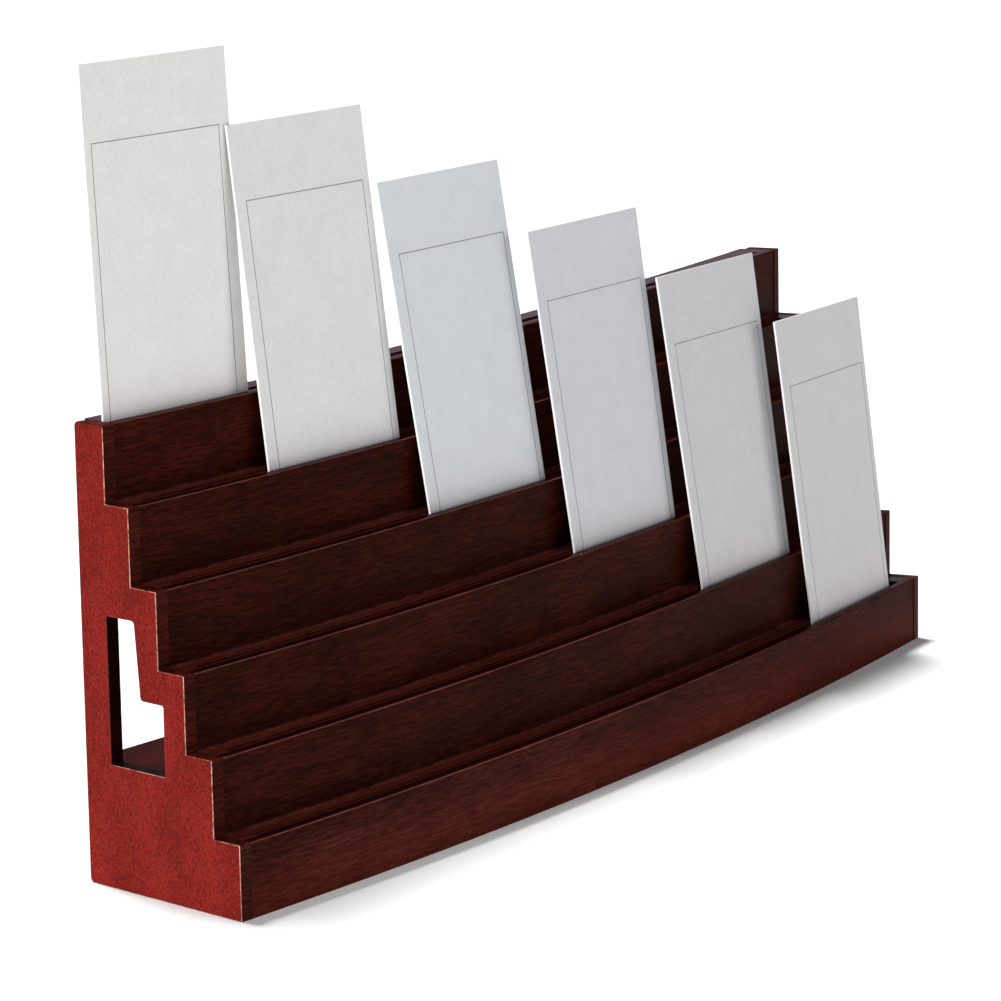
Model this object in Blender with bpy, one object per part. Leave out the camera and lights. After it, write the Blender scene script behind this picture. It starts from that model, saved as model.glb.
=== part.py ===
"""Six-tier curved card display rack in stained wood, with six blank cards standing in its grooves.

Metres, +Z up. The rack faces -Y and stands on Z = 0. Its fronts are arcs about one upright axis
behind it, so every point of a tier is given as (behind, z): how far behind the tier's own front, and
how high. Origin: middle of the rack's footprint, on the ground.
"""

import math

import bmesh
import bpy
from mathutils import Matrix, Vector

MM = 0.001

# ---- driving dimensions ----------------------------------------------------------------------
FRONT_RADIUS = 1663.0 * MM  # lowest tier's front face
HALF_ANGLE = 0.1106  # from the middle of that arc to the outer face of an end panel, radians
END_SPLAY = math.radians(9.8)  # how far each end panel turns in towards the back
RISES = [20.45 * MM] + [20.96 * MM] * 5  # tier heights, lowest first
SETBACKS = [9.64 * MM] * 4 + [8.78 * MM]  # each tier's front behind the front of the one below
BODY_DEPTH = 58.4 * MM  # along an end panel, front to back
BACK_RADIUS = FRONT_RADIUS - 58.6 * MM
PANEL_THICK = 4.2 * MM
RISER_THICK = 7.6 * MM
TREAD_THICK = 7.0 * MM
TREAD_DEPTH = 17.0 * MM
LIP_ROUND = 0.6 * MM
EDGE_ROUND = 0.45 * MM
CORNER_ROUND = 1.3 * MM  # outer corners at the back of an end panel
HOLE_ROUND = 0.9 * MM
GLUE_GAP = 0.1 * MM

GROOVE_FRONT, GROOVE_BACK, GROOVE_DEEP = 2.4 * MM, 5.3 * MM, 8.5 * MM
GROOVE_RUN_OUT = 3.0 * MM  # length over which the groove rises to the surface at a stopped end
GROOVE_FROM_END = 10.4 * MM  # stopped ends, from the outer face of the end panel

# Opening in an end panel: distances along the panel from its front, and heights.
HOLE_FRONT, HOLE_NECK, HOLE_NECK_TOP, HOLE_BACK = 27.5 * MM, 36.2 * MM, 37.9 * MM, 48.4 * MM
HOLE_FOOT, HOLE_LEDGE, HOLE_HEAD = 34.0 * MM, 53.2 * MM, 74.3 * MM

FLOOR_TOP, FLOOR_THICK = 33.8 * MM, 12.8 * MM
BACK_RAIL_THICK = 8.4 * MM
SHELL_INSET = 0.5 * MM  # back edges of the floor and the rail, inside the panels' back edges

CARD = (57.15 * MM, 101.6 * MM, 0.7 * MM)  # width, height, thickness
CARD_FRONT = 4.22 * MM  # face of a card at the mouth of its groove, behind the tier's front
CARD_IN_GROOVE = 8.2 * MM  # along the card
# Angle round the arc and lean of each card, from the top tier at the left to the lowest at the right.
CARD_PLACES = [(-0.0881, 3.2), (-0.0539, 7.2), (-0.0185, 9.3), (0.0169, 8.0), (0.0514, 8.0), (0.0842, 6.9)]

STATIONS = 24  # steps along a curved piece
# -------------------------------------------------------------------------------------------------

RADII = [FRONT_RADIUS - sum(SETBACKS[:k]) for k in range(6)]
TOPS = [sum(RISES[: k + 1]) for k in range(6)]
HEIGHT = TOPS[-1]
END_Y = FRONT_RADIUS * (1 - math.cos(HALF_ANGLE))  # outer front corner, behind the foremost point
DEPTH_ALL = END_Y + BODY_DEPTH * math.cos(END_SPLAY)
AXIS_Y = FRONT_RADIUS - DEPTH_ALL / 2  # the arcs' axis, with the origin at mid depth


def end_angle(radius, side, inset=0.0):
    """Angle round the arc at which a circle meets the plane of an end panel, moved inwards by inset."""
    along = Vector((-side * math.sin(END_SPLAY), math.cos(END_SPLAY)))
    inward = Vector((-side * math.cos(END_SPLAY), -math.sin(END_SPLAY)))
    start = Vector((side * math.sin(HALF_ANGLE), -math.cos(HALF_ANGLE))) * FRONT_RADIUS + inward * inset
    half = start.dot(along)
    reach = -half - math.sqrt(half * half - start.length_squared + radius * radius)
    point = start + along * reach
    return math.atan2(point.x, -point.y)


def polar(radius, angle, z):
    return Vector((radius * math.sin(angle), AXIS_Y - radius * math.cos(angle), z))


def material(name, colour, roughness):
    made = bpy.data.materials.new(name)
    made.use_nodes = True
    shader = made.node_tree.nodes["Principled BSDF"]
    shader.inputs["Base Color"].default_value = (*colour, 1)
    shader.inputs["Roughness"].default_value = roughness
    return made


def add_object(name, mesh_build, surface=None):
    built = bmesh.new()
    mesh_build(built)
    bmesh.ops.recalc_face_normals(built, faces=built.faces)
    mesh = bpy.data.meshes.new(name)
    built.to_mesh(mesh)
    built.free()
    made = bpy.data.objects.new(name, mesh)
    bpy.context.scene.collection.objects.link(made)
    if surface:
        mesh.materials.append(surface)
    return made


def rings_to_solid(built, rings):
    """Joins equal rings of points into one closed body."""
    rows = [[built.verts.new(point) for point in ring] for ring in rings]
    count = len(rows[0])
    for before, after in zip(rows, rows[1:]):
        for i in range(count):
            j = (i + 1) % count
            built.faces.new((before[i], before[j], after[j], after[i]))
    built.faces.new(rows[0])
    built.faces.new(tuple(reversed(rows[-1])))


def swept(outline, inset, stations=STATIONS):
    """Sweeps an outline of (radius, z) round the arcs, from one end panel to the other."""

    def build(built):
        ends = [(end_angle(r, -1, inset), end_angle(r, 1, inset)) for r, _ in outline]
        rings_to_solid(
            built,
            [
                [polar(r, a + (b - a) * j / stations, z) for (r, z), (a, b) in zip(outline, ends)]
                for j in range(stations + 1)
            ],
        )

    return build


def arc_points(centre, radius, start, end, steps=3):
    """Points on a corner, angles in degrees."""
    found = []
    for i in range(steps + 1):
        angle = math.radians(start + (end - start) * i / steps)
        found.append((centre[0] + radius * math.cos(angle), centre[1] + radius * math.sin(angle)))
    return found


def cut(target, cutter):
    cutter.hide_render = True
    cutter.display_type = "WIRE"
    boolean = target.modifiers.new("Cut " + cutter.name, "BOOLEAN")
    boolean.operation = "DIFFERENCE"
    boolean.solver = "EXACT"
    boolean.object = cutter


def smooth(target, angle=35):
    for face in target.data.polygons:
        face.use_smooth = True
    target.data.set_sharp_from_angle(angle=math.radians(angle))


def groove_cutter(name, radius, top, left_angle, right_angle, left_open):
    """A bar that fills the groove. Its underside climbs to the surface at a stopped end."""
    inner, outer = radius - GROOVE_BACK, radius - GROOVE_FRONT
    run_out = GROOVE_RUN_OUT / radius
    places = [(left_angle, GROOVE_DEEP if left_open else 0.3 * MM)]
    if not left_open:
        places.append((left_angle + run_out, GROOVE_DEEP))
    first, last = places[-1][0], right_angle - run_out
    places += [(first + (last - first) * i / STATIONS, GROOVE_DEEP) for i in range(1, STATIONS + 1)]
    places.append((right_angle, 0.3 * MM))

    def build(built):
        rings_to_solid(
            built,
            [
                [
                    polar(outer, angle, top - deep),
                    polar(outer, angle, top + 2 * MM),
                    polar(inner, angle, top + 2 * MM),
                    polar(inner, angle, top - deep),
                ]
                for angle, deep in places
            ],
        )

    return add_object(name, build)


def tier(index, surface):
    """One tier: an upright front and a tread behind it, in one curved moulding, grooved for cards."""
    radius, top = RADII[index], TOPS[index]
    foot = TOPS[index - 1] + GLUE_GAP if index else 0
    depth = TREAD_DEPTH if index < 5 else radius - BACK_RADIUS
    lip = arc_points((radius - LIP_ROUND, top - LIP_ROUND), LIP_ROUND, 0, 90)
    outline = [(radius, foot)] + lip + [
        (radius - depth, top),
        (radius - depth, top - TREAD_THICK),
        (radius - RISER_THICK, top - TREAD_THICK),
        (radius - RISER_THICK, foot),
    ]
    name = f"tier_{index + 1}"
    made = add_object(name, swept(outline, PANEL_THICK + GLUE_GAP), surface)
    middle = radius - GROOVE_FRONT
    open_end = index == 5
    left = end_angle(middle, -1) + (PANEL_THICK - 1 * MM if open_end else GROOVE_FROM_END) / middle
    right = end_angle(middle, 1) - GROOVE_FROM_END / middle
    cut(made, groove_cutter(name + "_groove", radius, top, left, right, open_end))
    smooth(made)
    return made


def panel_place(side, along, inset, z):
    """A point of an end panel: distance along its outer face from the front, and depth into it."""
    start = polar(FRONT_RADIUS, side * HALF_ANGLE, z)
    back = Vector((-side * math.sin(END_SPLAY), math.cos(END_SPLAY), 0))
    inward = Vector((-side * math.cos(END_SPLAY), -math.sin(END_SPLAY), 0))
    return start + back * along + inward * inset


def step_along(index):
    """Where a tier's front meets the outer face of the end panel, along that face."""
    corner = polar(RADII[index], end_angle(RADII[index], 1), 0)
    return (corner - panel_place(1, 0, 0, 0)).length


def rounded(corners, radii, steps=4):
    """Outline with each corner rounded by its own radius; 0 keeps it sharp."""
    found = []
    for i, radius in enumerate(radii):
        here = Vector(corners[i])
        before, after = Vector(corners[i - 1]), Vector(corners[(i + 1) % len(corners)])
        if radius == 0:
            found.append(here)
            continue
        a, b = (before - here).normalized(), (after - here).normalized()
        for j in range(steps + 1):
            share = j / steps
            # Square corners only: the arc runs from one side to the other.
            angle = share * math.pi / 2
            found.append(here + a * radius * (1 - math.sin(angle)) + b * radius * (1 - math.cos(angle)))
    return found


def end_panel(name, side, surface):
    """Flat panel cut to the stair outline, with an L-shaped opening."""
    steps = [step_along(k) for k in range(6)]
    corners, radii = [(0, 0)], [0]
    for k in range(6):
        corners.append((steps[k], TOPS[k]))
        radii.append(0)
        if k < 5:
            corners.append((steps[k + 1], TOPS[k]))
            radii.append(0)
    corners += [(BODY_DEPTH, HEIGHT), (BODY_DEPTH, 0)]
    radii += [CORNER_ROUND, CORNER_ROUND]

    hole = [
        (HOLE_FRONT, HOLE_FOOT),
        (HOLE_FRONT, HOLE_LEDGE),
        (HOLE_NECK, HOLE_LEDGE),
        (HOLE_NECK_TOP, HOLE_HEAD),
        (HOLE_BACK, HOLE_HEAD),
        (HOLE_BACK, HOLE_FOOT),
    ]
    hole_radii = [HOLE_ROUND * 0.4, HOLE_ROUND * 0.6, HOLE_ROUND, HOLE_ROUND, HOLE_ROUND * 0.4, HOLE_ROUND * 0.4]

    def plate(outline, near, far):
        def build(built):
            rings_to_solid(
                built, [[panel_place(side, s, depth, z) for s, z in outline] for depth in (near, far)]
            )

        return build

    made = add_object(name, plate(rounded(corners, radii), 0, PANEL_THICK), surface)
    cutter = add_object(name + "_opening", plate(rounded(hole, hole_radii), -2 * MM, PANEL_THICK + 2 * MM))
    cut(made, cutter)
    bevel = made.modifiers.new("Worn edges", "BEVEL")
    bevel.width = EDGE_ROUND
    bevel.segments = 2
    bevel.limit_method = "ANGLE"
    bevel.angle_limit = math.radians(50)
    return made


def curved_board(name, front, back, low, high, surface):
    """A board between two arcs, its long top edges just broken."""
    soft = 0.4 * MM
    outline = [(front, low), (front, high - soft), (front - soft, high)]
    outline += [(back + soft, high), (back, high - soft), (back, low)]
    return add_object(name, swept(outline, PANEL_THICK + GLUE_GAP), surface)


def card(name, index, angle, lean, surface):
    """A flat card. Its origin is the middle of its foot, its local Z the way it lifts out."""
    width, height, thick = CARD
    radius, top = RADII[index], TOPS[index]

    def build(built):
        low, high = [
            [Vector((x, y, z)) for x, y in ((-width / 2, 0), (width / 2, 0), (width / 2, thick), (-width / 2, thick))]
            for z in (0, height)
        ]
        rings_to_solid(built, [low, high])

    made = add_object(name, build, surface)
    tilt = math.radians(lean)
    mouth = polar(radius - CARD_FRONT, angle, top)
    facing = Matrix.Rotation(angle, 4, "Z") @ Matrix.Rotation(-tilt, 4, "X")
    foot = facing @ Vector((0, 0, -CARD_IN_GROOVE))
    made.matrix_world = Matrix.Translation(mouth + foot) @ facing
    return made


for old in list(bpy.data.objects):
    bpy.data.objects.remove(old, do_unlink=True)

stained_board = material("Mahogany stained wood", (0.085, 0.022, 0.014), 0.38)
stained_panel = material("Mahogany stained fibreboard", (0.24, 0.035, 0.02), 0.5)
card_stock = material("White card stock", (0.78, 0.78, 0.77), 0.75)

for k in range(6):
    tier(k, stained_board)
end_panel("end_panel_left", -1, stained_panel)
end_panel("end_panel_right", 1, stained_panel)

back_face = BACK_RADIUS + SHELL_INSET
floor_front, floor_foot = RADII[1] - RISER_THICK - GLUE_GAP, FLOOR_TOP - FLOOR_THICK
curved_board("floor_board", floor_front, back_face, floor_foot, FLOOR_TOP, stained_board)
curved_board("back_rail", back_face + BACK_RAIL_THICK, back_face, 0, floor_foot - GLUE_GAP, stained_board)

for number, (angle, lean) in enumerate(CARD_PLACES, 1):
    card(f"card_{number}", 6 - number, angle, lean, card_stock)
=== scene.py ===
"""Looks of the tiered card rack: stained wood tiers, red fibreboard ends and six blank printed cards.

Shapes are in metres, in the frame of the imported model; the materials measure in millimetres. The tiers'
fronts are arcs about one upright axis behind the rack, so the wood's grain is laid out round that axis.
"""

import math

import bmesh
import bpy
from mathutils import Matrix, Vector, noise


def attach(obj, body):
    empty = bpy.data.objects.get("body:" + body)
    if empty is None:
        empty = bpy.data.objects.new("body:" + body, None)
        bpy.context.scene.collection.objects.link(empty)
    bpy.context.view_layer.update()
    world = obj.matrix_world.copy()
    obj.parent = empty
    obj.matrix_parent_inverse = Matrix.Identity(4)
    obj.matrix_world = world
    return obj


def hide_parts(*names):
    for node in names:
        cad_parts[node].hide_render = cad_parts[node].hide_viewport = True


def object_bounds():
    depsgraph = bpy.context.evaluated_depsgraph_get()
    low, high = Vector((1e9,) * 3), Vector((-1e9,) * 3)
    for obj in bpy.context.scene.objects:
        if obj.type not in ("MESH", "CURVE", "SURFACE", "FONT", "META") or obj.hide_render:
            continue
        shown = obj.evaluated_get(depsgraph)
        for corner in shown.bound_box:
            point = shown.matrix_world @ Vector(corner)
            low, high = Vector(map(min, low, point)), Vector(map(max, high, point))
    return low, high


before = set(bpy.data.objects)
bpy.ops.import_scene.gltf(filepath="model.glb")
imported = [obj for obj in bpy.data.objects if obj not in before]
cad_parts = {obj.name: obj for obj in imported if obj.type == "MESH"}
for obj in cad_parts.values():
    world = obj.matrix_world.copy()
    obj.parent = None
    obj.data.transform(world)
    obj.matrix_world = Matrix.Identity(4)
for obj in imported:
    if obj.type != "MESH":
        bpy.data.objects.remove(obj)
CAD_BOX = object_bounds()
MM = 0.001

# ---- driving dimensions, as in the solid model -------------------------------------------------
FRONT_RADIUS = 1663.0 * MM
HALF_ANGLE = 0.1106
END_SPLAY = math.radians(9.8)
RISES = [20.45] + [20.96] * 5
SETBACKS = [9.64] * 4 + [8.78]
TIERS = len(RISES)
AXIS_Y = CAD_BOX[0].y + FRONT_RADIUS
TOPS = [sum(RISES[: k + 1]) * MM for k in range(TIERS)]
RADII = [FRONT_RADIUS - sum(SETBACKS[:k]) * MM for k in range(TIERS)]

CARD_W, CARD_H, CARD_T = 57.15 * MM, 101.6 * MM, 0.7 * MM
CARD_FRONT = 4.22 * MM
CARD_IN_GROOVE = 8.2 * MM

# ---- the cards -----------------------------------------------------------------------------------
# angle round the arc; lean, turn in the groove, tip to one side and twist of the top in degrees; how far
# the foot stands off its usual depth, bow and sideways shift of the print in mm; tint of the stock
# the tints darken towards the right: painted shade
CARDS = [
    (-0.0883, 3.10, 0.10, 0.16, -0.19, -0.2, 0.10, -0.85, (0.730, 0.730, 0.712)),
    (-0.0544, 7.20, -0.30, 0.15, 0.12, 0.0, 0.12, 0.70, (0.694, 0.694, 0.698)),
    (-0.0186, 9.60, -0.30, 0.07, 0.36, -0.2, 0.15, 1.10, (0.645, 0.665, 0.692)),
    (0.0168, 8.34, -0.24, 0.10, 0.61, 0.0, 0.12, 1.02, (0.604, 0.606, 0.634)),
    (0.0513, 8.50, -0.14, 0.46, 0.66, 0.25, 0.10, 1.06, (0.574, 0.574, 0.588)),
    (0.0839, 7.35, -0.52, 0.44, 0.47, 0.2, 0.10, 1.10, (0.580, 0.574, 0.578)),
]
CARD_EDGE = 0.12 * MM  # width of the crushed edge
CARD_RIPPLE = 0.05 * MM
RIPPLES_ACROSS, RIPPLES_UP = 60, 45  # per metre
COLUMNS, ROWS = 12, 22
SHARP_ANGLE = math.radians(30)
LINE_TOP, LINE_SIDE, LINE_WIDTH = 20.9 * MM, 3.66 * MM, 0.26 * MM
LINE_SOFT, LINE_END_SOFT, LINE_WOBBLE = 0.04, 0.05, 0.05  # mm

# ---- colours ---------------------------------------------------------------------------------------
DARK, MID, LIGHT = (0.0120, 0.0012, 0.0005), (0.032, 0.0038, 0.0016), (0.060, 0.0088, 0.0038)
# painted light on the level treads
TREAD = (0.070, 0.0108, 0.0078)
# partly worn edge and partly painted highlight
LIP = (0.135, 0.043, 0.034)
BARE_CHIP = (0.42, 0.26, 0.20)
# painted highlight on the groove's back wall
GROOVE_WALL_HIGHLIGHT = (0.105, 0.022, 0.018)
FOOT_LINE = (0.12, 0.036, 0.030)
DUST, CRUMBS = (0.115, 0.034, 0.027), (0.30, 0.24, 0.20)
# painted shade, darkening the lowest tier towards its right end
RIGHT_SHADE, FAR_RIGHT_SHADE = (0.86, 0.70, 0.66), (0.86, 0.55, 0.50)  # multiplied in
# how much brighter than the common stain each tier is, lowest first, in red, green and blue; the lowest
# tier's lift is partly its own paler stain and partly painted light from the floor
LIFTS = [
    (1.50, 2.2, 3.6),
    (0.92, 1.0, 1.25),
    (0.95, 0.95, 1.0),
    (0.88, 0.86, 0.85),
    (0.95, 0.84, 0.8),
    (0.95, 0.80, 0.70),
]
# painted light and painted reflection: the bluish mauve of the floor board seen through the opening
FLOOR_BOARD_LIFT = (0.42, 1.40, 4.5)
PANEL_LIFT = (1.15, 1.05, 1.0)
PLAIN = (1.0, 1.0, 1.0)

# the end boards' outside; part of its brightness is painted light from the left
RED = (0.142, 0.0098, 0.0072)
RED_SPECK = (0.050, 0.006, 0.0055)
ORANGE_PATCH = (1.25 * RED[0], 2.1 * RED[1], 1.5 * RED[2])
PANEL_BARE_EDGE = (0.60, 0.33, 0.24)
SHADED_INSIDE = (0.004, 0.001, 0.001)

# painted light thrown back from the wood
CARD_FOOT_BOUNCE_PINK = (0.62, 0.44, 0.47)
INK = (0.10, 0.10, 0.105)

# ---- relief and gloss ------------------------------------------------------------------------------
WOOD_RELIEF, PANEL_RELIEF, CARD_RELIEF = 0.05 * MM, 0.06 * MM, 0.03 * MM
WOOD_GLOSS, FLOOR_BOARD_GLOSS, PANEL_GLOSS, CARD_GLOSS = 0.011, 0.0015, 0.02, 0.25

# ---- wood grain, per millimetre --------------------------------------------------------------------
GRAIN_SLANT = 0.83  # how fast the grain on a level face follows that on an upright one
BOARD_SHIFT_ALONG, BOARD_SHIFT_ACROSS = 113.0, 37.3  # so that each board shows its own part
RING_PITCH, RING_SWAY = 0.55, 24.0
LINE_PITCH, LINE_SWAY = 2.5, 34.0
LINES, LOWEST_TIER_LINES = 0.6, 0.95  # strength of the thin dark growth lines

# ---- where the marks lie: soft edges as (start, end), in millimetres -------------------------------
# along the arc from its middle, to the right
RIGHT_SHADE_STARTS, FAR_RIGHT_SHADE_STARTS = (-150.0, 120.0), (70.0, 170.0)
LIP_RUB_FADES = (-40.0, 110.0)
# along the radius from a tier's front, so a minus sign is behind it
DARK_STRIP_ENDS = (-2.6, -3.4)
GROOVE_WALL_STARTS, GROOVE_WALL_ENDS = (-4.2, -4.8), (-6.2, -5.8)
DUST_REACH = (1.1, 0.25)  # from the front of the next tier up
# down from a tread
WALL_HIGHLIGHT_STARTS, WALL_HIGHLIGHT_ENDS = (0.28, 0.45), (0.95, 0.75)
# up from the foot of a tier's front
FOOT_LINE_TOP, FOOT_LINE_FOOT = (0.62, 0.38), (0.05, 0.15)
# painted floor light on the lowest tier's front
FLOOR_LIGHT_REACH = (19.0, 2.0)
# on an end panel: along it from its front, or up it
INSIDE_STARTS, INSIDE_TOP = (30.5, 31.5), (76.0, 75.0)
BACK_EDGE_STARTS = (57.3, 57.9)
TOP_EDGE_STARTS = (-0.75, -0.35)  # from the top of the highest tier
LOWEST_FLOOR_LIGHT_TOP = (0.1, -0.2)  # from the top of the lowest tier
# up a card from its foot
CARD_FOOT_BOUNCE_REACH = (26.0, 9.0)


def scaled(colour, factor):
    return tuple(factor * c for c in colour)


def soft_edge(place, edge):
    """A soft edge in millimetres, from one that is given relative to a place in metres."""
    start, end = edge
    return place / MM + start, place / MM + end


# ---- node helpers ------------------------------------------------------------------------------
class Nodes:
    """Builds one material's node tree with short calls."""

    def __init__(self, name):
        self.material = bpy.data.materials.new(name)
        self.material.use_nodes = True
        self.tree = self.material.node_tree
        self.shader = self.tree.nodes["Principled BSDF"]
        self.shader.inputs["IOR"].default_value = 1.5

    def add(self, kind, **settings):
        node = self.tree.nodes.new(kind)
        for key, value in settings.items():
            setattr(node, key, value)
        return node

    def put(self, value, socket):
        """Links a socket, or sets a plain value."""
        if isinstance(value, bpy.types.NodeSocket):
            self.tree.links.new(value, socket)
        else:
            socket.default_value = value

    def math(self, operation, *values):
        node = self.add("ShaderNodeMath", operation=operation)
        for value, socket in zip(values, node.inputs):
            self.put(value, socket)
        return node.outputs[0]

    def times(self, first, *others):
        for other in others:
            first = self.math("MULTIPLY", first, other)
        return first

    def plus(self, first, *others):
        for other in others:
            first = self.math("ADD", first, other)
        return first

    def minus(self, first, second):
        return self.math("SUBTRACT", first, second)

    def magnitude(self, value):
        return self.math("ABSOLUTE", value)

    def weighted(self, *pairs):
        """Sum of (value, weight) pairs."""
        return self.plus(*[self.times(value, weight) for value, weight in pairs])

    def vector(self, x, y, z):
        node = self.add("ShaderNodeCombineXYZ")
        for value, socket in zip((x, y, z), node.inputs):
            self.put(value, socket)
        return node.outputs[0]

    def split(self, vector):
        node = self.add("ShaderNodeSeparateXYZ")
        self.put(vector, node.inputs[0])
        return node.outputs

    def object_point(self):
        """x, y and z in the object's frame."""
        return self.split(self.add("ShaderNodeTexCoord").outputs["Object"])

    def noise(self, vector, detail=2.0, rough=0.5):
        node = self.add("ShaderNodeTexNoise")
        self.put(vector, node.inputs["Vector"])
        for key, value in (("Scale", 1.0), ("Detail", detail), ("Roughness", rough)):
            self.put(value, node.inputs[key])
        return node.outputs["Fac"]

    def step(self, value, start, end, low=0.0, high=1.0):
        """Smooth step from low at start to high at end; start may be the greater of the two."""
        node = self.add("ShaderNodeMapRange", interpolation_type="SMOOTHSTEP", clamp=True)
        settings = {"Value": value, "From Min": start, "From Max": end, "To Min": low, "To Max": high}
        for key, setting in settings.items():
            self.put(setting, node.inputs[key])
        return node.outputs["Result"]

    def band(self, value, rise, fall):
        """1 between two smooth steps, each given as (from, to)."""
        return self.times(self.step(value, *rise), self.step(value, *fall))

    def ramp(self, value, *stops):
        """Colour ramp through (place, colour) pairs."""
        node = self.add("ShaderNodeValToRGB")
        self.put(value, node.inputs[0])
        elements = node.color_ramp.elements
        while len(elements) < len(stops):
            elements.new(0.5)
        for element, (place, colour) in zip(elements, stops):
            element.position = place
            element.color = (*colour, 1)
        return node.outputs[0]

    def mix(self, share, a, b, blend="MIX"):
        node = self.add("ShaderNodeMix", data_type="RGBA", blend_type=blend)
        for value, socket in zip((share, a, b), (node.inputs[0], node.inputs[6], node.inputs[7])):
            self.put((*value, 1) if isinstance(value, tuple) else value, socket)
        return node.outputs[2]

    def bump(self, height, distance, strength):
        node = self.add("ShaderNodeBump")
        node.inputs["Strength"].default_value = strength
        node.inputs["Distance"].default_value = distance
        self.put(height, node.inputs["Height"])
        self.put(node.outputs[0], self.shader.inputs["Normal"])

    def finish(self, colour, roughness, specular):
        self.put(colour, self.shader.inputs["Base Color"])
        self.put(roughness, self.shader.inputs["Roughness"])
        self.put(specular, self.shader.inputs["Specular IOR Level"])
        return self.material


# ---- materials -----------------------------------------------------------------------------------
def arc_point(n):
    """(along the arc, depth from the axis, height)."""
    x, y, z = n.object_point()
    back = n.minus(AXIS_Y, y)
    along = n.times(n.math("ARCTAN2", x, back), FRONT_RADIUS / MM)
    reach = n.math("SQRT", n.plus(n.times(x, x), n.times(back, back)))
    return along, n.times(reach, 1 / MM), n.times(z, 1 / MM)


def wood_grain(n, along, across, seed, lines=LINES):
    """Fine-pored hardwood seen along the grain: (tone 0-1, pores and lines 0-1, relief)."""
    shifted = n.plus(along, seed * BOARD_SHIFT_ALONG)
    level = n.plus(across, seed * BOARD_SHIFT_ACROSS)

    def laid(stretch, pitch, offset, **settings):
        return n.noise(n.vector(n.times(shifted, stretch), n.times(level, pitch), offset), **settings)

    def waves(pitch, sway, amount):
        """Bands that run along the grain and bend with a slow noise."""
        return n.magnitude(n.math("SINE", n.weighted((level, pitch), (sway, amount))))

    # growth rings cut at a slant, so they run nearly parallel and close in long ovals
    ring = n.step(waves(RING_PITCH, laid(0.011, 0.045, seed * 1.7, detail=1.5), RING_SWAY), 0.0, 0.5)
    cloud = laid(0.022, 0.07, 9.0, detail=2)
    streak = laid(0.07, 1.3, 3.1, detail=3, rough=0.6)
    fine = laid(0.22, 3.6, 5.9, detail=2.5, rough=0.65)
    pores = n.step(laid(0.17, 2.7, 7.7, detail=1.5, rough=0.6), 0.52, 0.62)
    tone = n.step(n.weighted((cloud, 0.26), (streak, 0.28), (fine, 0.46)), 0.36, 0.64)
    tone = n.times(tone, n.step(ring, 0.0, 1.0, 0.62, 1.0))
    # thin dark growth lines, wavy and broken
    thin = n.step(waves(LINE_PITCH, laid(0.016, 0.06, seed * 2.9, detail=2.5), LINE_SWAY), 0.46, 0.05)
    thin = n.times(thin, n.step(laid(0.06, 0.8, 12.4, detail=2), 0.38, 0.56, 0.2, 1.0))
    pores = n.math("MAXIMUM", pores, n.times(thin, lines))
    relief = n.minus(n.times(fine, 0.6), n.times(pores, 0.9))
    return tone, pores, relief


def wood_colour(n, tone, pores, lift):
    """Dark mahogany stain; lift brightens the whole board."""
    dark, mid, light = (tuple(k * c for k, c in zip(lift, colour)) for colour in (DARK, MID, LIGHT))
    colour = n.ramp(tone, (0.0, dark), (0.45, mid), (1.0, light))
    return n.mix(n.times(pores, 0.68), colour, scaled(dark, 0.45))


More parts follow.
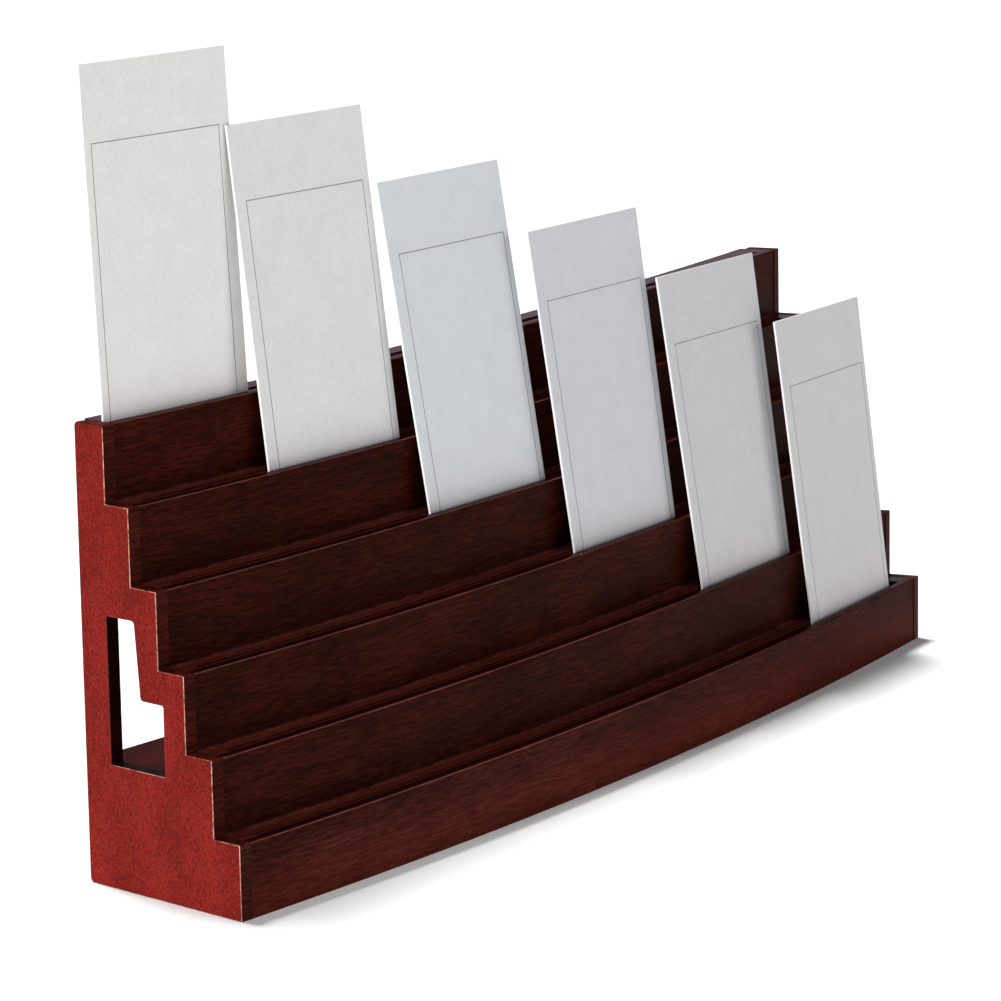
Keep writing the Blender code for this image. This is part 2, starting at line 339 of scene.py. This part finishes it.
def stained_wood(name, seed, lift, front=None, foot=None, base=None, top=None, gloss=WOOD_GLOSS):
    """A tier or an inner board.

    front is the radius of a tier's front and top the height of its tread; foot is the radius at which the
    next tier stands on that tread, and base the height that this tier stands on, 0 for the lowest one.
    """
    n = Nodes(name)
    along, depth, height = arc_point(n)
    lowest = base == 0
    across = n.plus(height, n.times(depth, GRAIN_SLANT))
    lines = LOWEST_TIER_LINES if lowest else LINES
    tone, pores, relief = wood_grain(n, along, across, seed, lines)
    colour = wood_colour(n, tone, pores, lift)
    if lowest:
        # painted shade darkens it towards the right end, and painted light from the floor makes its front
        # paler towards the floor
        colour = n.mix(n.step(along, *RIGHT_SHADE_STARTS), colour, RIGHT_SHADE, "MULTIPLY")
        colour = n.mix(n.step(along, *FAR_RIGHT_SHADE_STARTS), colour, FAR_RIGHT_SHADE, "MULTIPLY")
        colour = n.mix(n.step(height, *FLOOR_LIGHT_REACH, 0.0, 0.42), colour, scaled(MID, 2.6), "SCREEN")

    # painted light: the treads are coloured a little paler and redder than the fronts, standing in for
    # light from above
    upward = n.split(n.add("ShaderNodeNewGeometry").outputs["True Normal"])[2]
    paler = TREAD if foot else MID
    painted_tread = n.ramp(tone, (0.0, scaled(paler, 0.7)), (1.0, scaled(paler, 1.3)))
    painted_tread = n.mix(n.times(pores, 0.3), painted_tread, DARK)
    tread = n.step(upward, 0.80, 0.97)
    if front:
        # only the part behind the groove gets the painted light; the narrow strip in front of it gets
        # painted shade
        behind = n.step(depth, *soft_edge(front, DARK_STRIP_ENDS))
        strip = scaled(DARK, 0.9 if front > RADII[-1] else 1.3)
        painted_tread = n.mix(behind, strip, painted_tread)
    colour = n.mix(tread, colour, painted_tread)
    if front:
        # painted highlight: a thin paler line along the top of the groove's back wall
        drop = n.minus(top / MM, height)
        wall = n.band(depth, soft_edge(front, GROOVE_WALL_STARTS), soft_edge(front, GROOVE_WALL_ENDS))
        line = n.band(drop, WALL_HIGHLIGHT_STARTS, WALL_HIGHLIGHT_ENDS)
        colour = n.mix(n.times(wall, line, n.step(upward, 0.5, 0.2)), colour, GROOVE_WALL_HIGHLIGHT)

    # the front lip is paler, more in some places than in others and less towards the right: partly wear
    # and partly a painted highlight on the rounded edge
    patchy = n.noise(n.vector(n.times(along, 0.12), seed, 4.4), detail=5, rough=0.72)
    spot = n.noise(n.vector(n.times(along, 0.35), seed + 5, 1.4), detail=3, rough=0.7)
    lip = n.band(upward, (0.40, 0.62), (0.985, 0.93))
    lip = n.times(lip, n.step(along, *LIP_RUB_FADES, 1.0, 0.30))
    rubbed = n.times(lip, n.step(patchy, 0.36, 0.62, 0.55, 1.0))
    colour = n.mix(rubbed, colour, LIP)
    colour = n.mix(n.times(lip, n.step(spot, 0.68, 0.76, 0.0, 0.8)), colour, BARE_CHIP)
    if base:
        # a thin pale line along the foot of the front
        line = n.band(height, soft_edge(base, FOOT_LINE_TOP), soft_edge(base, FOOT_LINE_FOOT))
        broken = n.step(patchy, 0.36, 0.66, 0.12, 1.0)
        colour = n.mix(n.times(line, broken, n.step(upward, 0.5, 0.2)), colour, FOOT_LINE)
    if foot:
        # pale dust lies in the corner where the next tier stands
        near = n.times(tread, n.step(depth, *soft_edge(foot, DUST_REACH)))
        colour = n.mix(n.times(near, n.step(patchy, 0.34, 0.66, 0.35, 1.0)), colour, DUST)
        colour = n.mix(n.times(near, n.step(spot, 0.62, 0.74, 0.0, 0.5)), colour, CRUMBS)

    rough = n.plus(n.step(tone, 0.0, 1.0, 0.36, 0.46), n.times(rubbed, 0.12))
    rough = n.minus(rough, n.times(tread, 0.16))
    n.bump(relief, WOOD_RELIEF, 0.5)
    return n.finish(colour, rough, gloss)


def panel_board(name, side, seed):
    """End board: red outside, stained dark on edges and openings, pale where the corners are rubbed. The
    red outside against the dark edges is partly the board's paint and partly painted light; the back, top
    and opening edges get painted shade.
    """
    n = Nodes(name)
    x, y, z = n.object_point()
    outward = Vector((side * math.cos(END_SPLAY), math.sin(END_SPLAY), 0))
    back = Vector((-side * math.sin(END_SPLAY), math.cos(END_SPLAY), 0))
    corner_x, corner_back = FRONT_RADIUS * math.sin(HALF_ANGLE), FRONT_RADIUS * math.cos(HALF_ANGLE)
    corner = Vector((side * corner_x, AXIS_Y - corner_back, 0))

    def measure(direction):
        """Distance from the front corner along a level direction."""
        reach = n.weighted((x, direction.x), (y, direction.y))
        return n.times(n.minus(reach, corner.dot(direction)), 1 / MM)

    along, depth = measure(back), measure(outward)
    height = n.times(z, 1 / MM)

    def laid(pitch, rise, offset, **settings):
        inward = n.plus(n.times(depth, pitch), offset)
        return n.noise(n.vector(n.times(along, pitch), inward, n.times(height, rise)), **settings)

    fine = laid(2.5, 1.5, seed, detail=3, rough=0.65)
    cloud = laid(0.07, 0.045, seed, detail=3)
    tone = n.step(n.weighted((fine, 0.72), (cloud, 0.28)), 0.36, 0.64)
    red = n.ramp(tone, (0.0, scaled(RED, 0.60)), (0.5, RED), (1.0, scaled(RED, 1.38)))
    speck = n.step(laid(2.7, 1.7, seed + 3, detail=1.0), 0.585, 0.67, 0.0, 0.9)
    red = n.mix(speck, red, RED_SPECK)
    orange = n.step(laid(1.1, 0.8, seed + 9, detail=2), 0.58, 0.74, 0.0, 0.5)
    red = n.mix(orange, red, ORANGE_PATCH)

    # edges and openings are stained like the tiers, darker where the opening shows the inside
    grain_tone, pores, _ = wood_grain(n, n.plus(along, depth), height, seed)
    dark = wood_colour(n, grain_tone, pores, PANEL_LIFT)
    # near the floor the edges take the lowest tier's lift, which is partly painted floor light
    lowest = wood_colour(n, grain_tone, pores, LIFTS[0])
    dark = n.mix(n.step(height, *soft_edge(TOPS[0], LOWEST_FLOOR_LIGHT_TOP)), dark, lowest)
    inside = n.times(n.step(along, *INSIDE_STARTS), n.step(height, *INSIDE_TOP))
    dark = n.mix(n.times(inside, 0.7), dark, SHADED_INSIDE)

    geometry = n.add("ShaderNodeNewGeometry")

    def facing(direction):
        node = n.add("ShaderNodeVectorMath", operation="DOT_PRODUCT")
        n.put(geometry.outputs["True Normal"], node.inputs[0])
        n.put(direction, node.inputs[1])
        return node.outputs["Value"]

    out, forward, up = facing(outward), facing(-back), facing((0, 0, 1))
    # red on the outward face, dark on the others: partly paint and partly painted light on the face the
    # light falls on
    colour = n.mix(n.step(out, 0.25, 0.80), dark, red)

    # the rounded edges are rubbed, most of all at the front and on top
    edge = n.band(out, (0.15, 0.35), (0.985, 0.93))
    exposed = n.math("MAXIMUM", n.step(forward, 0.15, 0.45), n.times(n.step(up, 0.15, 0.45), 0.55))
    exposed = n.math("MAXIMUM", exposed, 0.22)
    patchy = n.noise(n.vector(n.times(along, 0.30), seed, n.times(height, 0.5)), detail=5, rough=0.75)
    rubbed = n.times(edge, exposed, n.step(patchy, 0.38, 0.60, 0.2, 1.0))
    # painted shade: the edge at the back, the top edge and the opening's edges are not rubbed pale and
    # are darkened
    top_edge = n.step(height, *soft_edge(TOPS[-1], TOP_EDGE_STARTS))
    shaded_edges = n.math("MAXIMUM", n.step(along, *BACK_EDGE_STARTS), top_edge)
    shaded_edges = n.math("MAXIMUM", shaded_edges, n.times(inside, n.times(n.step(forward, 0.0, 0.2), 0.85)))
    colour = n.mix(n.times(rubbed, n.minus(1.0, shaded_edges)), colour, PANEL_BARE_EDGE)
    colour = n.mix(n.times(edge, shaded_edges, 0.75), colour, DARK)
    n.bump(n.weighted((fine, 0.6), (speck, -0.4)), PANEL_RELIEF, 0.35)
    return n.finish(colour, n.step(fine, 0.3, 0.7, 0.48, 0.60), PANEL_GLOSS)


def card_stock(name, stock_tint_and_shade, seed, shift):
    """Matt card with a faint mottle and a thin printed frame, which sits a little to one side."""
    n = Nodes(name)
    x, _, z = n.object_point()
    across, high = n.times(x, 1 / MM), n.times(z, 1 / MM)
    fibre = n.noise(n.vector(n.times(across, 1.5), seed, n.times(high, 1.2)), detail=4, rough=0.7)
    mottle = n.noise(n.vector(n.times(across, 0.16), seed, n.times(high, 0.13)), detail=3)
    tone = n.step(n.weighted((fibre, 0.75), (mottle, 0.25)), 0.34, 0.66)
    colour = n.ramp(tone, (0.0, scaled(stock_tint_and_shade, 0.94)), (1.0, scaled(stock_tint_and_shade, 1.045)))
    # painted light: near the groove the card is tinted pink, standing in for light thrown back from the
    # wood
    colour = n.mix(n.step(high, *CARD_FOOT_BOUNCE_REACH, 0.0, 0.16), colour, CARD_FOOT_BOUNCE_PINK)
    # painted shade: the top edge is coloured darker than the face
    normal = n.split(n.add("ShaderNodeTexCoord").outputs["Normal"])
    colour = n.mix(n.step(normal[2], 0.5, 0.8, 0.0, 0.5), colour, scaled(stock_tint_and_shade, 0.45))

    # ink lines on the front: across the top margin, and down both sides from it
    side = CARD_W / 2 / MM - LINE_SIDE / MM
    top = (CARD_H - LINE_TOP) / MM
    half = LINE_WIDTH / MM / 2
    stripe = half + LINE_SOFT, half - LINE_SOFT
    wobble = n.times(n.minus(fibre, 0.5), LINE_WOBBLE)
    printed = n.magnitude(n.minus(across, shift))
    off_side = n.magnitude(n.plus(n.minus(printed, side), wobble))
    off_top = n.magnitude(n.plus(n.minus(high, top), wobble))
    below_top = n.step(high, top + half, top + half - LINE_END_SOFT)
    between_sides = n.step(printed, side + half, side + half - LINE_END_SOFT)
    line_side = n.times(n.step(off_side, *stripe), below_top)
    line_top = n.times(n.step(off_top, *stripe), between_sides)
    ink = n.times(n.math("MAXIMUM", line_side, line_top), n.step(normal[1], -0.5, -0.9))
    colour = n.mix(n.times(ink, n.step(fibre, 0.2, 0.8, 0.95, 0.78)), colour, INK)
    n.bump(fibre, CARD_RELIEF, 0.4)
    return n.finish(colour, n.step(fibre, 0.3, 0.7, 0.78, 0.9), CARD_GLOSS)


# ---- the rack's boards --------------------------------------------------------------------------
def dress(name, material):
    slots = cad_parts[name].data.materials
    slots.clear()
    slots.append(material)


for number in range(1, TIERS + 1):
    dress(
        f"tier_{number}",
        stained_wood(
            f"Stained wood tier {number}",
            number,
            LIFTS[number - 1],
            front=RADII[number - 1],
            top=TOPS[number - 1],
            foot=RADII[number] if number < TIERS else None,
            base=TOPS[number - 2] if number > 1 else 0,
        ),
    )
floor_board_wood = stained_wood("Stained wood floor board", 11, FLOOR_BOARD_LIFT, gloss=FLOOR_BOARD_GLOSS)
dress("floor_board", floor_board_wood)
dress("back_rail", stained_wood("Stained wood back rail", 12, PLAIN))
dress("end_panel_left", panel_board("Red fibreboard left", -1, 5.5))
dress("end_panel_right", panel_board("Red fibreboard right", 1, 11.5))


# ---- cards ----------------------------------------------------------------------------------------
def placed(name, data):
    made = bpy.data.objects.new(name, data)
    bpy.context.scene.collection.objects.link(made)
    return made


def card_piece(number, angle, lean, turn, tip, twist, stand, bow, shift, stock_tint_and_shade):
    """A thick card with softly crushed edges, bowed and twisted a little, standing in its groove."""
    tier = TIERS - number
    turned = Matrix.Rotation(angle + math.radians(turn), 4, "Z")
    turned = turned @ Matrix.Rotation(-math.radians(lean), 4, "X")
    turned = turned @ Matrix.Rotation(math.radians(tip), 4, "Y")
    reach = RADII[tier] - CARD_FRONT
    mouth = Vector((reach * math.sin(angle), AXIS_Y - reach * math.cos(angle), TOPS[tier]))
    foot = turned @ Vector((0, 0, -CARD_IN_GROOVE + stand * MM))
    clear = CARD_H - CARD_IN_GROOVE

    def place(x, z, face):
        """A point of the card's surface; face is 0 on the front and 1 on the back."""
        high = max(0.0, z - CARD_IN_GROOVE) / clear
        twisted = math.tan(math.radians(twist)) * high * -x * clear / (CARD_W / 2)
        bowed = bow * MM * high * (1 - (2 * x / CARD_W) ** 2)
        # a slight ripple, which fades out towards the groove
        where = Vector((x * RIPPLES_ACROSS, number * 3.1, z * RIPPLES_UP))
        ripple = CARD_RIPPLE * noise.noise(where) * min(1, high * 3)
        at_side = abs(x) > CARD_W / 2 - CARD_EDGE / 2
        inset = CARD_EDGE if at_side or z < CARD_EDGE / 2 or z > CARD_H - CARD_EDGE / 2 else 0
        thick = inset if face == 0 else CARD_T - inset
        return Vector((x, thick + twisted - bowed + ripple, z))

    built = bmesh.new()
    columns = [-CARD_W / 2, -CARD_W / 2 + CARD_EDGE]
    columns += [(-0.5 + i / COLUMNS) * CARD_W for i in range(1, COLUMNS)]
    columns += [CARD_W / 2 - CARD_EDGE, CARD_W / 2]
    rows = [0, CARD_EDGE] + [CARD_H * i / ROWS for i in range(1, ROWS)] + [CARD_H - CARD_EDGE, CARD_H]
    front, rear = [[[built.verts.new(place(x, z, f)) for x in columns] for z in rows] for f in (0, 1)]
    for face in (front, rear):
        for below, above in zip(face, face[1:]):
            for i in range(len(columns) - 1):
                ring = (below[i], below[i + 1], above[i + 1], above[i])
                built.faces.new(ring if face is front else ring[::-1])
    # the narrow strips that join the front to the rear: left and right, then foot and top
    for j in range(len(rows) - 1):
        built.faces.new((front[j][0], front[j + 1][0], rear[j + 1][0], rear[j][0]))
        built.faces.new((front[j][-1], rear[j][-1], rear[j + 1][-1], front[j + 1][-1]))
    for i in range(len(columns) - 1):
        built.faces.new((front[0][i], rear[0][i], rear[0][i + 1], front[0][i + 1]))
        built.faces.new((front[-1][i], front[-1][i + 1], rear[-1][i + 1], rear[-1][i]))
    bmesh.ops.recalc_face_normals(built, faces=built.faces)
    mesh = bpy.data.meshes.new(f"printed_card_{number}")
    built.to_mesh(mesh)
    built.free()
    mesh.shade_smooth()
    mesh.set_sharp_from_angle(angle=SHARP_ANGLE)
    mesh.materials.append(card_stock(f"Card stock {number}", stock_tint_and_shade, number * 7.3, shift))

    piece = placed(f"printed_card_{number}", mesh)
    piece.matrix_world = Matrix.Translation(mouth + foot) @ turned
    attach(piece, f"card_{number}")
    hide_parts(f"card_{number}")


for number, facts in enumerate(CARDS, 1):
    card_piece(number, *facts)


# ---- floor and world -------------------------------------------------------------------------------
FLOOR_REACH = 9
FLOOR_GREY = (0.62, 0.62, 0.62, 1)
floor_mesh = bpy.data.meshes.new("floor")
floor_corners = [(x * FLOOR_REACH, y * FLOOR_REACH, 0) for x, y in ((-1, -1), (1, -1), (1, 1), (-1, 1))]
floor_mesh.from_pydata(floor_corners, [], [(0, 1, 2, 3)])
floor = placed("floor", floor_mesh)
floor_mesh.materials.append(Nodes("Pale floor").finish(FLOOR_GREY, 0.9, 0.0))

world = bpy.data.worlds.new("Studio")
bpy.context.scene.world = world
world.use_nodes = True
sky = world.node_tree.nodes["Background"].inputs
sky["Color"].default_value = (0.94, 0.97, 1.0, 1)
sky["Strength"].default_value = 0.14


# ---- lights ----------------------------------------------------------------------------------------
def light_from(towards, name, lamp):
    """Places a lamp that shines from the given direction towards the rack."""
    made = placed(name, lamp)
    made.rotation_euler = towards.to_track_quat("Z", "Y").to_euler()
    return made


def sun(name, azimuth, elevation, strength, width, colour=(1, 1, 1)):
    """Sunlight, with angles in degrees: azimuth 0 comes from -Y, 90 from +X."""
    lamp = bpy.data.lights.new(name, "SUN")
    lamp.energy, lamp.angle, lamp.color = strength, math.radians(width), colour
    a, e = math.radians(azimuth), math.radians(elevation)
    light_from(Vector((math.sin(a) * math.cos(e), -math.cos(a) * math.cos(e), math.sin(e))), name, lamp)


sun("Back top light", azimuth=166, elevation=71.5, strength=4.9, width=12)
sun("Key light", azimuth=-93, elevation=14, strength=4.1, width=8, colour=(1.0, 0.985, 0.96))
sun("Front side light", azimuth=34, elevation=9, strength=0.95, width=26)
sun("Front top light", azimuth=10, elevation=78, strength=0.45, width=20)

# a large soft box low behind the rack, which shows as a pale gloss on the tiers' level tops
SOFT_BOX_DISTANCE = 3
SOFT_BOX_TOWARDS = Vector((0.8155, 0.543, 0.2))
box = bpy.data.lights.new("Back soft box", "AREA")
box.shape, box.size, box.size_y = "RECTANGLE", 1.8, 0.7
box.energy, box.color = 3.6, (0.68, 0.80, 1.0)
soft_box = light_from(SOFT_BOX_TOWARDS, "Back soft box", box)
soft_box.location = SOFT_BOX_DISTANCE * SOFT_BOX_TOWARDS
soft_box.visible_camera = False

# ---- camera, from the fit to the photographed proportions -------------------------------------------
SENSOR_WIDTH = 36
FOCAL_IN_WIDTHS = 4564.5 / 1001
EYE = Vector((-1.0898, -0.67594 + CAD_BOX[0].y, 0.34179))
EYE_FORWARD = Vector((0.81555467, 0.54299713, -0.20006174))
EYE_UPWARD = Vector((0.1765461, 0.09576837, 0.97962232))
NEAR, FAR = 0.05, 60

camera_data = bpy.data.cameras.new("Camera")
camera = placed("Camera", camera_data)
bpy.context.scene.camera = camera
camera_data.sensor_width = SENSOR_WIDTH
camera_data.lens = FOCAL_IN_WIDTHS * SENSOR_WIDTH
camera_data.clip_start, camera_data.clip_end = NEAR, FAR
forward = EYE_FORWARD.normalized()
rightward = forward.cross(EYE_UPWARD).normalized()
upward = rightward.cross(forward)
facing = Matrix((rightward, upward, -forward)).transposed().to_4x4()
camera.matrix_world = Matrix.Translation(EYE) @ facing

bpy.context.scene.view_settings.view_transform = "Standard"

bpy.context.view_layer.update()
